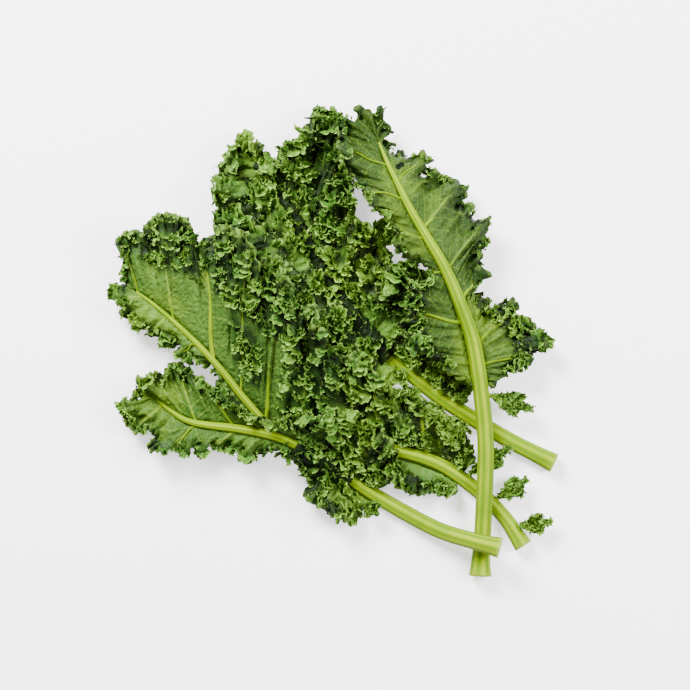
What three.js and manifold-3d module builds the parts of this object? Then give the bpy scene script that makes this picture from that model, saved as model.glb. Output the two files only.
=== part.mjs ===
// A bunch of four cut leaves of curly kale, lying on a table, in millimetres.
// +Z is up from the table and +Y runs from the cut ends of the stems towards the leaf tips.
// Each leaf is a thick pale stem that runs on as the blade's midrib, and a thin green blade that
// stands round the midrib and closes beyond its tip. The blade's margin is far longer than the
// line it follows, so it stands in waves: broad ones, and short ones riding on them. The short
// ones stand for the frills, so they're as high as a frilled margin is thick.

import * as THREE from "three";
import { mergeVertices } from "three/addons/utils/BufferGeometryUtils.js";
import Module from "manifold-3d";

const wasm = await Module();
wasm.setup();

const BLADE = 0.8; // thickness of a blade
const VEIN = 0.8; // how far a side vein stands out of the blade's underside
const VEINS = 16; // spaces between side veins round a blade
const VEIN_END = 0.8; // share of the way out to the margin at which a side vein ends
const CLEAR = 0.8; // gap between a midrib and the blade beside it
const RIB_END = 0.93; // share of the blade's length at which the midrib fades out
const STEM_SIDES = 10;
const STEM_RINGS = 22;
const FLAT_SIDE = 0.74; // a stem is flatter on the side that faced the plant's heart

// The blade's rows, from the midrib out to the margin: how far out each lies, and its columns.
const ROWS = [
  { out: 0, columns: 64 },
  { out: 0.24, columns: 64 },
  { out: 0.48, columns: 128 },
  { out: 0.7, columns: 128 },
  { out: 0.87, columns: 256 },
  { out: 1, columns: 256 },
];

// Each leaf. rib: x, y, z and radius along its centre, from the cut end to the tip. margin: x, y
// and z of the blade's edge, from its base on the leaf's left, round the tip, to its base on the
// right, each with the share of the midrib where the vein to it starts and how strongly the edge
// waves there. underside is 1 where the leaf lies underside up.
const LEAVES = [
  {
    name: "middle_leaf",
    underside: 0,
    bladeFrom: 0.25,
    rib: [
      [178, -100, 7, 8],
      [160, -91, 6, 6.8],
      [137, -79, 5.8, 6.6],
      [93, -52, 5.8, 6.3],
      [69, -34, 6.6, 6],
      [45, -15, 9, 5.4],
      [21, 12, 10, 4.6],
      [1, 40, 10, 3.8],
      [-18, 72, 10, 3],
      [-35, 104, 10, 2.2],
      [-51, 128, 9, 1.6],
      [-66, 145, 8, 1],
    ],
    margin: [
      [52, -33, 7, 0.2, 0.1],
      [38, -40, 8, 0.24, 0.3],
      [12, -37, 12, 0.33, 0.5],
      [-14, -12, 16, 0.42, 0.6],
      [-33, 14, 19, 0.52, 0.7],
      [-54, 44, 20, 0.62, 0.8],
      [-80, 62, 20, 0.71, 0.9],
      [-97, 90, 18, 0.8, 1],
      [-98, 120, 15, 0.9, 1],
      [-90, 146, 10, 0.96, 1],
      [-75, 160, 8, 1, 1],
      [-57, 153, 15, 0.98, 1],
      [-44, 142, 27, 0.93, 1],
      [-38, 154, 27, 0.88, 1],
      [-25, 171, 21, 0.83, 1],
      [-2, 191, 9, 0.77, 1],
      [14, 166, 13, 0.7, 0.8],
      [13, 128, 19, 0.62, 0.8],
      [22, 100, 20, 0.54, 0.8],
      [40, 82, 20, 0.46, 0.8],
      [54, 58, 20, 0.38, 0.8],
      [71, 36, 18, 0.29, 0.8],
      [90, 6, 14, 0.19, 0.8],
      [104, -20, 11, 0.09, 0.6],
      [107, -38, 9, 0.04, 0.4],
      [109, -50, 8, 0, 0.1],
    ],
    arch: 2,
    broad: { count: 15, height: 7, phase: 0.4, from: 0, drift: 0.2 },
    short: { count: 44, height: 7.5, phase: 1.1, from: 0.2, drift: 0.5 },
    leaflets: [],
  },
  {
    name: "left_leaf",
    underside: 1,
    bladeFrom: 0.19,
    rib: [
      [153, -167, 5.2, 7.6],
      [146, -156, 4.4, 6.5],
      [137, -143, 4.1, 6.1],
      [117, -123, 4.1, 6.1],
      [85, -101, 4, 5.9],
      [49, -90, 3.8, 5.4],
      [9, -85, 4, 4.6],
      [-27, -81, 5, 4],
      [-50, -72, 9, 3.5],
      [-73, -47, 18, 3.2],
      [-90, -25, 26, 2.9],
      [-113, 0, 28, 2.3],
      [-142, 26, 22, 1.6],
      [-163, 41, 15, 1],
    ],
    margin: [
      [100, -122, 6, 0, 0.2],
      [84, -125, 8, 0.05, 0.7],
      [62, -124, 7, 0.12, 0.6],
      [36, -112, 5, 0.21, 0.1],
      [6, -100, 5, 0.31, 0.1],
      [-28, -91, 4.5, 0.42, 0.1],
      [-62, -78, 5, 0.53, 0.2],
      [-84, -52, 8, 0.62, 0.5],
      [-101, -21, 16, 0.7, 0.8],
      [-117, -5, 15, 0.76, 1],
      [-143, -1, 11, 0.85, 0.8],
      [-164, 11, 10, 0.92, 0.6],
      [-173, 37, 8, 0.97, 0.6],
      [-170, 62, 10, 1, 0.6],
      [-166, 84, 17, 0.97, 0.8],
      [-154, 96, 27, 0.91, 1],
      [-127, 100, 38, 0.82, 1],
      [-103, 90, 46, 0.72, 1],
      [-80, 90, 48, 0.65, 1],
      [-58, 76, 48, 0.58, 1],
      [-38, 54, 48, 0.51, 1],
      [-22, 28, 47, 0.43, 1],
      [0, 2, 42, 0.33, 1],
      [20, -17, 34, 0.24, 0.9],
      [40, -31, 25, 0.17, 0.8],
      [60, -43, 18, 0.12, 0.8],
      [78, -56, 15, 0.07, 0.9],
      [95, -69, 14, 0.035, 0.9],
      [110, -80, 12, 0.01, 0.8],
      [112, -98, 8, 0, 0.3],
    ],
    arch: 5,
    broad: { count: 14, height: 8.4, phase: 1.9, from: 0.22, drift: 0.2 },
    short: { count: 42, height: 9, phase: 0.3, from: 0.45, drift: 0.5 },
    leaflets: [
      { at: 0.045, side: -1, length: 25, width: 15, rise: 4, turn: 0.4 },
      { at: 0.11, side: -1, length: 27, width: 15, rise: 4, turn: 0.2 },
    ],
  },
  {
    name: "lower_leaf",
    underside: 1,
    bladeFrom: 0.36,
    rib: [
      [133, -167, 26.5, 8.4],
      [121, -164, 24.6, 7.2],
      [109, -161, 21, 6.8],
      [85, -154, 11, 6.7],
      [57, -140, 4.8, 6.5],
      [30, -124, 6, 6],
      [0, -104, 12, 5],
      [-25, -88, 18, 4.4],
      [-46, -78, 21.5, 4],
      [-75, -72, 21, 3.6],
      [-113, -67, 17, 2.8],
      [-131, -58, 13, 1.9],
      [-147, -45, 10, 1.1],
    ],
    margin: [
      [31, -136, 9, 0, 0.2],
      [24, -142, 10, 0.04, 0.7],
      [8, -144, 10, 0.1, 1],
      [-12, -134, 10, 0.16, 1],
      [-27, -120, 10, 0.24, 1],
      [-30, -101, 12, 0.3, 0.8],
      [-42, -90, 15, 0.38, 0.5],
      [-63, -92, 13, 0.48, 0.8],
      [-95, -91, 13, 0.6, 1],
      [-119, -89, 13, 0.72, 1],
      [-147, -86, 11, 0.84, 1],
      [-163, -74, 10, 0.94, 1],
      [-169, -58, 8, 1, 1],
      [-164, -42, 10, 0.96, 1],
      [-149, -28, 12, 0.88, 1],
      [-127, -17, 14, 0.78, 1],
      [-113, -26, 17, 0.68, 0.8],
      [-98, -40, 22, 0.58, 0.4],
      [-80, -54, 26, 0.49, 0.2],
      [-52, -64, 28, 0.38, 0.4],
      [-26, -58, 34, 0.28, 0.8],
      [4, -56, 36, 0.19, 1],
      [34, -68, 32, 0.11, 1],
      [54, -94, 22, 0.05, 1],
      [48, -116, 15, 0, 0.4],
    ],
    arch: 4,
    broad: { count: 11, height: 6, phase: 2.6, from: 0, drift: 0.2 },
    short: { count: 34, height: 7, phase: 1.7, from: 0.3, drift: 0.5 },
    leaflets: [],
  },
  {
    name: "right_leaf",
    underside: 1,
    bladeFrom: 0.42,
    rib: [
      [118, -191, 6.6, 9.4],
      [118.5, -180, 7, 7.8],
      [119.5, -162, 10.5, 7],
      [121, -125, 16.6, 6.8],
      [122, -88, 18, 6.8],
      [119, -50, 21, 6.6],
      [112, -4, 28, 6.2],
      [101, 28, 35, 5.3],
      [89, 56, 38, 4.6],
      [75, 80, 39, 3.9],
      [62, 102, 38, 3.3],
      [53, 120, 35, 2.7],
      [43, 141, 29, 1.8],
      [35, 161, 22, 1],
    ],
    margin: [
      [109, -34, 26, 0, 0.2],
      [92, -26, 31, 0.03, 0.4],
      [72, -12, 36, 0.09, 0.6],
      [56, 2, 43, 0.16, 0.8],
      [52, 20, 45, 0.24, 0.8],
      [60, 40, 45, 0.33, 0.7],
      [74, 51, 43, 0.41, 0.4],
      [66, 62, 44, 0.46, 0.6],
      [50, 72, 46, 0.53, 0.7],
      [48, 84, 46, 0.57, 0.7],
      [37, 98, 46, 0.65, 0.6],
      [14, 128, 44, 0.78, 0.7],
      [1, 152, 41, 0.88, 0.8],
      [-3, 160, 38, 0.92, 0.8],
      [3, 169, 33, 0.96, 0.9],
      [13, 177, 26, 0.99, 1],
      [21, 182, 20, 1, 1],
      [29, 180, 16, 0.99, 1],
      [41, 164, 10, 0.96, 1],
      [53, 152, 8, 0.92, 1],
      [67, 146, 8, 0.84, 1],
      [76, 135, 14, 0.77, 0.8],
      [85, 139, 9, 0.72, 1],
      [96, 127, 9, 0.64, 1],
      [109, 118, 10, 0.56, 1],
      [117, 104, 12, 0.48, 1],
      [118, 88, 15, 0.42, 1],
      [112, 74, 20, 0.38, 0.8],
      [122, 68, 15, 0.35, 1],
      [118, 54, 17, 0.32, 1],
      [108, 40, 22, 0.28, 0.8],
      [121, 33, 18, 0.22, 1],
      [141, 25, 11, 0.17, 1],
      [157, 22, 8, 0.13, 1],
      [166, 8, 8, 0.1, 1],
      [165, -6, 8, 0.07, 1],
      [150, -24, 12, 0.04, 0.9],
      [134, -34, 18, 0.01, 0.5],
      [127, -41, 20, 0, 0.2],
    ],
    arch: 4,
    broad: { count: 13, height: 7, phase: 0.9, from: 0.1, drift: 0.2 },
    short: { count: 40, height: 8, phase: 2.2, from: 0.4, drift: 0.5 },
    leaflets: [
      { at: 0.4, side: -1, length: 34, width: 17, rise: -8, turn: 0.45 },
    ],
  },
];

const LEAFLET_COLUMNS = 7;
const LEAFLET_ROWS = 4;
const LEAFLET_WAVE = 2.6; // height of the waves on a leaflet's edge
const LOBES = 15; // lobes round a blade's margin
const NOTCH_POWER = 8; // the higher, the narrower the notches
const NOTCH_FROM = 0.4; // how far out the notches begin
const FOOT_LIFT = 0.4; // how far off the midrib's middle the blade meets it, in midrib radii
const SLOT_CLOSING = 1.3; // how far past the midrib's end the slot for it stays open
const LOBE_DEPTH = 0.16; // share of the blade's width that the notch between two lobes cuts away
const TABLE = 0; // height of the surface that the bunch lies on
const TIP_STEPS = 400; // steps round the margin in the search for the leaf's tip

const turns = (x) => 2 * Math.PI * x;
const ramp = (x) => Math.min(1, Math.max(0, x)) ** 2 * (3 - 2 * Math.min(1, Math.max(0, x)));

// A smooth line through points of any number of values, each lookup by its share of the length.
class Line {
  constructor(points, samples = 600) {
    this.points = points;
    this.table = [0];
    let last = this.raw(0);
    for (let i = 1; i <= samples; i++) {
      const here = this.raw(i / samples);
      this.table.push(this.table[i - 1] + Math.hypot(...[0, 1, 2].map((k) => here[k] - last[k])));
      last = here;
    }
  }

  raw(share) {
    const p = this.points;
    const whole = share * (p.length - 1);
    const i = Math.min(Math.floor(whole), p.length - 2);
    const t = whole - i;
    const [a, b, c, d] = [Math.max(i - 1, 0), i, i + 1, Math.min(i + 2, p.length - 1)].map((k) => p[k]);
    return b.map(
      (_, k) =>
        0.5 *
        (2 * b[k] +
          (c[k] - a[k]) * t +
          (2 * a[k] - 5 * b[k] + 4 * c[k] - d[k]) * t * t +
          (3 * b[k] - a[k] - 3 * c[k] + d[k]) * t * t * t),
    );
  }

  at(share) {
    const table = this.table;
    const target = Math.min(1, Math.max(0, share)) * table[table.length - 1];
    let i = table.findIndex((length) => length >= target);
    if (i < 1) i = 1;
    const part = (target - table[i - 1]) / (table[i] - table[i - 1] || 1);
    return this.raw((i - 1 + part) / (table.length - 1));
  }
}

// A point on a stem's centre with the directions across it, to its left and upwards.
function crossing(rib, share) {
  const [x, y, z, radius] = rib.at(share);
  const ahead = rib.at(share + 0.004);
  const behind = rib.at(share - 0.004);
  const along = new THREE.Vector3(...[0, 1, 2].map((k) => ahead[k] - behind[k])).normalize();
  const left = new THREE.Vector3(0, 0, 1).cross(along).normalize();
  const up = along.clone().cross(left);
  return { centre: new THREE.Vector3(x, y, z), radius, left, up };
}

function geometryFrom(points, triangles) {
  const geometry = new THREE.BufferGeometry().setFromPoints(points);
  geometry.setIndex(triangles);
  return geometry;
}

// A stem and midrib: rings of points round the centre line, closed at both ends.
function stemGeometry(leaf, rib) {
  const points = [];
  const triangles = [];
  const end = leaf.bladeFrom + (1 - leaf.bladeFrom) * RIB_END;
  for (let ring = 0; ring <= STEM_RINGS; ring++) {
    const { centre, radius, left, up } = crossing(rib, (end * ring) / STEM_RINGS);
    for (let side = 0; side < STEM_SIDES; side++) {
      const angle = turns(side / STEM_SIDES);
      const rise = Math.sin(angle);
      const flat = rise > 0 === (leaf.underside === 0) ? FLAT_SIDE : 1;
      const point = centre
        .clone()
        .addScaledVector(left, radius * Math.cos(angle))
        .addScaledVector(up, radius * rise * flat);
      point.z = Math.max(point.z, TABLE);
      points.push(point);
    }
  }
  const at = (ring, side) => ring * STEM_SIDES + (side % STEM_SIDES);
  for (let ring = 0; ring < STEM_RINGS; ring++) {
    for (let side = 0; side < STEM_SIDES; side++) {
      triangles.push(at(ring, side), at(ring, side + 1), at(ring + 1, side));
      triangles.push(at(ring + 1, side), at(ring, side + 1), at(ring + 1, side + 1));
    }
  }
  for (let side = 1; side < STEM_SIDES - 1; side++) {
    triangles.push(at(0, 0), at(0, side + 1), at(0, side));
    triangles.push(at(STEM_RINGS, 0), at(STEM_RINGS, side), at(STEM_RINGS, side + 1));
  }
  return geometryFrom(points, triangles);
}

// The blade without its waves: a point at a share round the margin and a share out from the rib.
function calmPoint(leaf, round, out) {
  const [mx, my, mz, foot, wave] = leaf.edge.at(round);
  const share = Math.min(1, Math.max(0, foot));
  const { centre, radius, left } = crossing(leaf.line, leaf.bladeFrom + (1 - leaf.bladeFrom) * share);
  const slot = Math.min(1, (SLOT_CLOSING * (1 - share)) / (1 - RIB_END)) * (radius + CLEAR);
  const start = centre.clone().addScaledVector(left, round < leaf.tip ? slot : -slot);
  start.z += (leaf.underside ? -FOOT_LIFT : FOOT_LIFT) * radius;
  const deepening = ramp((out - NOTCH_FROM) / (1 - NOTCH_FROM));
  const notch = Math.abs(Math.cos(Math.PI * LOBES * round)) ** NOTCH_POWER * deepening;
  const point = start.lerp(new THREE.Vector3(mx, my, mz), out * (1 - LOBE_DEPTH * notch * wave));
  point.z += leaf.arch * Math.sin(Math.PI * out);
  return { point, wave };
}

// Moves the points of a surface along its own normal, in waves that grow towards the margin.
function waved(surface, { count, height, phase, from, drift }) {
  return (leaf, round, out) => {
    const { point, wave } = surface(leaf, round, out);
    const place = (r, o) => surface(leaf, Math.min(1, Math.max(0, r)), Math.min(1, Math.max(0, o))).point;
    const round1 = place(round + 0.002, out).sub(place(round - 0.002, out));
    const out1 = place(round, out + 0.02).sub(place(round, out - 0.02));
    const normal = out1.cross(round1).normalize();
    if (normal.z < 0) normal.negate();
    const sway = drift * Math.sin(turns(round * 4 + out * 0.4) + 2 * phase);
    const rise = Math.sin(turns(count * round + sway) + phase);
    point.addScaledVector(normal, wave * height * ramp((out - from) / (1 - from)) * rise);
    return { point, wave };
  };
}

// Joins two rows of points into triangles. The outer row has as many columns, or twice as many.
function joinRows(inner, innerColumns, outer, outerColumns, triangles) {
  for (let i = 0; i < innerColumns; i++) {
    if (innerColumns === outerColumns) {
      if (i % 2) {
        triangles.push([inner + i, inner + i + 1, outer + i]);
        triangles.push([inner + i + 1, outer + i + 1, outer + i]);
      } else {
        triangles.push([inner + i, inner + i + 1, outer + i + 1]);
        triangles.push([inner + i, outer + i + 1, outer + i]);
      }
    } else {
      triangles.push([inner + i, outer + 2 * i + 1, outer + 2 * i]);
      triangles.push([inner + i, inner + i + 1, outer + 2 * i + 1]);
      triangles.push([inner + i + 1, outer + 2 * i + 2, outer + 2 * i + 1]);
    }
  }
}

// A thin closed solid from one sheet of triangles: the same triangles above and below it, and a
// wall along its edge. ridge says how far each point of the upper or lower face stands out.
function thicken(points, triangles, ridgeAbove, ridgeBelow) {
  const sheet = geometryFrom(points, triangles.flat());
  sheet.computeVertexNormals();
  const normals = sheet.getAttribute("normal");
  const faces = [];
  const above = [];
  const below = [];
  points.forEach((point, i) => {
    const normal = new THREE.Vector3().fromBufferAttribute(normals, i);
    above.push(point.clone().addScaledVector(normal, BLADE / 2 + ridgeAbove(i)));
    below.push(point.clone().addScaledVector(normal, -BLADE / 2 - ridgeBelow(i)));
  });
  const count = points.length;
  const edges = new Set();
  for (const [a, b, c] of triangles) {
    faces.push(a, b, c, count + a, count + c, count + b);
    for (const [from, to] of [
      [a, b],
      [b, c],
      [c, a],
    ])
      edges.add(from + "," + to);
  }
  for (const edge of edges) {
    const [from, to] = edge.split(",").map(Number);
    if (edges.has(to + "," + from)) continue;
    faces.push(to, from, count + from, to, count + from, count + to);
  }
  for (const point of [...above, ...below]) point.z = Math.max(point.z, TABLE);
  return geometryFrom([...above, ...below], faces);
}

function bladeGeometry(leaf) {
  const surface = waved(waved(calmPoint, leaf.broad), leaf.short);
  const points = [];
  const triangles = [];
  const veins = [];
  let innerStart = 0;
  ROWS.forEach((row, j) => {
    const start = points.length;
    for (let i = 0; i <= row.columns; i++) {
      const { point } = surface(leaf, i / row.columns, row.out);
      point.z = Math.max(point.z, TABLE + BLADE / 2);
      points.push(point);
      const onVein = (i * VEINS) % row.columns === 0;
      veins.push(onVein && row.out > 0 && row.out < VEIN_END ? VEIN : 0);
    }
    if (j > 0) joinRows(innerStart, ROWS[j - 1].columns, start, row.columns, triangles);
    innerStart = start;
  });
  const ridge = (i) => veins[i];
  const none = () => 0;
  return thicken(points, triangles, leaf.underside ? ridge : none, leaf.underside ? none : ridge);
}

// A leaflet on the bare stem: a narrow stalk that widens into a waved flap.
function leafletGeometry(leaf, rib, { at, side, length, width, rise, turn }) {
  const { centre, radius, left } = crossing(rib, at);
  const across = left.clone().multiplyScalar(side);
  const along = new THREE.Vector3(0, 0, 1).cross(across).multiplyScalar(side * Math.sin(turn));
  const heading = across.clone().multiplyScalar(Math.cos(turn)).add(along);
  const sideways = new THREE.Vector3(0, 0, 1).cross(heading);
  const points = [];
  const triangles = [];
  for (let row = 0; row <= LEAFLET_ROWS; row++) {
    const v = (2 * row) / LEAFLET_ROWS - 1;
    for (let column = 0; column <= LEAFLET_COLUMNS; column++) {
      const u = column / LEAFLET_COLUMNS;
      const half = (width / 2) * (0.16 + 0.84 * ramp((u - 0.15) / 0.55)) * (1 - 0.35 * u ** 4);
      const point = centre
        .clone()
        .addScaledVector(heading, radius * 0.5 + u * length * (1 - 0.12 * v * v))
        .addScaledVector(sideways, v * half);
      point.z += rise * Math.sin((Math.PI / 2) * u);
      point.z += LEAFLET_WAVE * Math.abs(v) * u * Math.sin(turns(2.4 * u) + 2 * v);
      point.z = Math.max(point.z, TABLE + BLADE / 2);
      points.push(point);
    }
    if (row > 0) {
      const start = row * (LEAFLET_COLUMNS + 1);
      joinRows(start - LEAFLET_COLUMNS - 1, LEAFLET_COLUMNS, start, LEAFLET_COLUMNS, triangles);
    }
  }
  const none = () => 0;
  return thicken(points, triangles, none, none);
}

function solidOf(geometry) {
  const bare = geometry.clone();
  for (const name of Object.keys(bare.attributes)) if (name !== "position") bare.deleteAttribute(name);
  const merged = mergeVertices(bare, 1e-4);
  return new wasm.Manifold(
    new wasm.Mesh({
      numProp: 3,
      vertProperties: merged.getAttribute("position").array,
      triVerts: new Uint32Array(merged.index.array),
    }),
  );
}

function geometryOf(solid) {
  const { vertProperties, triVerts } = solid.getMesh();
  const geometry = new THREE.BufferGeometry();
  geometry.setAttribute("position", new THREE.BufferAttribute(vertProperties, 3));
  geometry.setIndex(new THREE.BufferAttribute(triVerts, 1));
  geometry.computeVertexNormals();
  return geometry;
}

const stemGreen = new THREE.MeshStandardMaterial({ color: 0xb4c62c, roughness: 0.42, metalness: 0 });
const bladeGreen = new THREE.MeshStandardMaterial({ color: 0x3f6b22, roughness: 0.6, metalness: 0 });

const bunch = new THREE.Group();
for (const leaf of LEAVES) {
  const rib = (leaf.line = new Line(leaf.rib));
  leaf.edge = new Line(leaf.margin);
  const feet = Array.from({ length: TIP_STEPS + 1 }, (_, i) => leaf.edge.at(i / TIP_STEPS)[3]);
  leaf.tip = feet.indexOf(Math.max(...feet)) / TIP_STEPS;
  let stem = solidOf(stemGeometry(leaf, rib));
  for (const leaflet of leaf.leaflets) stem = stem.add(solidOf(leafletGeometry(leaf, rib, leaflet)));
  const stemMesh = new THREE.Mesh(geometryOf(stem), stemGreen);
  stemMesh.name = leaf.name + "_stem";
  const bladeMesh = new THREE.Mesh(geometryOf(solidOf(bladeGeometry(leaf))), bladeGreen);
  bladeMesh.name = leaf.name + "_blade";
  bunch.add(stemMesh, bladeMesh);
}

export default bunch;
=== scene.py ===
# %% [markdown]
# # A bunch of curly kale
#
# Four cut leaves lie loose on a pale table and are seen from straight above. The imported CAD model
# gives the frame: a plain stem and a plain waved blade for each leaf. Here each blade becomes a
# finely frilled sheet on the same lines, and each stem gets its ridges and cut end.
#
# Lengths in the tables are millimetres, and `MM` turns them into Blender's metres.

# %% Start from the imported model
import math

import bpy
import numpy as np
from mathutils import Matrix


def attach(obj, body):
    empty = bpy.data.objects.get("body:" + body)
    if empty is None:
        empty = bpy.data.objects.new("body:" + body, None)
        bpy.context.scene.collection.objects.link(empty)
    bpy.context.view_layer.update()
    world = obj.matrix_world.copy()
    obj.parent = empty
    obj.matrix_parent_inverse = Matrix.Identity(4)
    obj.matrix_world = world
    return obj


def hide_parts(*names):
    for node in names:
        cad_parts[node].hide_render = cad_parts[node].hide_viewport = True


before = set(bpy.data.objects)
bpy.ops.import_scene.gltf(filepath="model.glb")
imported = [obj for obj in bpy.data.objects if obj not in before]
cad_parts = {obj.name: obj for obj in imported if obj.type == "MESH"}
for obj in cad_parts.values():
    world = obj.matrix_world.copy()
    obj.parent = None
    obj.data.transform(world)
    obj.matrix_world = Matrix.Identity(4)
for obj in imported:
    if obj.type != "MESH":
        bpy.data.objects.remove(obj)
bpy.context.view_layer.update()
print("nodes", sorted(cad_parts))

MM = 0.001
TAU = 2 * math.pi
FAR_FROM_VEIN = 9  # millimetres from a side vein at which none of its colour is left
TABLE = 0.0  # height of the table

# %% [markdown]
# ## The four leaves
#
# Each leaf is a stem that runs on as a midrib, with a blade round it. It could be sculpted by hand, but
# a table of a few points is easier to read and to change, and the solids follow the same lines.
#
# `rib` is the centre line of a stem and its midrib: x, y, z and radius from the cut end to the tip.
# `blade_from` is the share of that line at which the blade starts. `margin` is the blade's edge from
# its base on the left, round the tip, to its base on the right: x, y, z, the share of the midrib where
# the vein to that place starts, and how strongly it waves. The lines are those of the solids. Only round
# the middle leaf's tip the margin waves less here, because frills stand on it.
#
# `arch` is how far a blade bulges up between rib and margin. `broad` and `short` are its two sets of
# waves, and `fine_from` is how far out the finest ones start. `cover` is the stretch of a midrib that
# lies hidden under frills, and `holes` are dark round spots on a blade: x, y and size.
#
# `frills` are zones of the blade: first and last share of the way round, first and last share of the
# way out, and height. `bare` and `crevices` are round places, x, y and size, where the frills lie flat
# and where they leave a deep gap with painted shade in it. `veins` are places round the blade with a
# size. `leaflets` grow on the bare stem: share of its length, side, length, width, rise and turn.
# `sprigs` are small lobes at the outline: x, y, z, heading in degrees, length, width and height of the
# frills.

# %% What all leaves share
RIB_END = 0.93  # share of the blade's length at which the midrib fades out
LOBES = 15  # lobes round a blade's margin
LOBE_DEPTH = 0.16  # share of the blade's width cut away between two lobes

LEAVES = {}

# %% [markdown]
# ## The middle leaf
#
# It lies at the bottom with its upper side up and is frilled nearly all over, so that its midrib is
# hidden. One large frilled zone would do, but the photograph shows smooth places and deep gaps, and
# those are listed one by one.

# %% Middle leaf
LEAVES["middle_leaf"] = dict(
    underside=False,
    blade_from=0.25,
    rib=[
        (178, -100, 7, 8), (160, -91, 6, 6.8), (137, -79, 5.8, 6.6), (93, -52, 5.8, 6.3),
        (69, -34, 6.6, 6), (45, -15, 9, 5.4), (21, 12, 10, 4.6), (1, 40, 10, 3.8),
        (-18, 72, 10, 3), (-35, 104, 10, 2.2), (-51, 128, 9, 1.6), (-66, 145, 8, 1),
    ],
    margin=[
        (52, -33, 7, 0.2, 0.1), (38, -40, 8, 0.24, 0.3), (12, -37, 12, 0.33, 0.5),
        (-14, -12, 16, 0.42, 0.6), (-33, 14, 19, 0.52, 0.7), (-54, 44, 20, 0.62, 0.8),
        (-80, 62, 20, 0.71, 0.9), (-97, 90, 18, 0.8, 0.7), (-98, 120, 15, 0.9, 0.6),
        (-90, 146, 10, 0.96, 1), (-75, 160, 8, 1, 1), (-57, 153, 15, 0.98, 1),
        (-44, 142, 27, 0.93, 0.6), (-38, 154, 27, 0.88, 0.6), (-25, 171, 21, 0.83, 0.8),
        (-2, 191, 9, 0.77, 1), (14, 166, 13, 0.7, 0.8), (13, 128, 19, 0.62, 0.8),
        (22, 100, 20, 0.54, 0.8), (40, 82, 20, 0.46, 0.8), (54, 58, 20, 0.38, 0.8),
        (71, 36, 18, 0.29, 0.8), (90, 6, 14, 0.19, 0.8), (104, -20, 11, 0.09, 0.6),
        (107, -38, 9, 0.04, 0.4), (109, -50, 8, 0, 0.1),
    ],
    cover=(0.45, 0.99),
    bare=[(-68, 142, 13), (-78, 122, 9), (-27, 63, 9), (40, 10, 13), (26, 22, 9), (-4, 120, 7)],
    crevices=[
        (-17, 154, 6), (-1, 136, 8), (-35, 126, 7), (-21, 97, 7), (-13, 78, 8), (-58, 77, 8),
        (-34, 57, 9), (5, 65, 6), (3, 102, 7), (-70, 104, 7), (30, 40, 6), (-40, 20, 7),
    ],
    sprigs=[
        (0, 164, 16, 93, 20, 14, 1), (38, 47, 17, 8, 32, 25, 5), (24, 90, 17, -12, 27, 18, 5),
        (46, -22, 9, -50, 14, 14, 3),
    ],
    arch=2,
    broad=dict(count=15, height=7, phase=0.4, start=0, drift=0.2),
    short=dict(count=44, height=5.4, phase=1.1, start=0.2, drift=0.5),
    fine_from=0.25,
    frills=[
        (0.04, 0.4, 0.1, 0.97, 7.5), (0.4, 0.62, 0.12, 0.99, 8), (0.62, 0.99, 0.1, 0.97, 7.5),
    ],
    veins=[],
    leaflets=[],
)
print("middle leaf", len(LEAVES["middle_leaf"]["margin"]), "points round its margin")

# %% [markdown]
# ## The left leaf
#
# The longest leaf lies with its underside up. Two smooth lobes with thick pale veins end in a frilled
# margin, and a third part is frilled throughout. Its frilled zones are short, because a zone that ran on
# would cover the smooth lobes.

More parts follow.
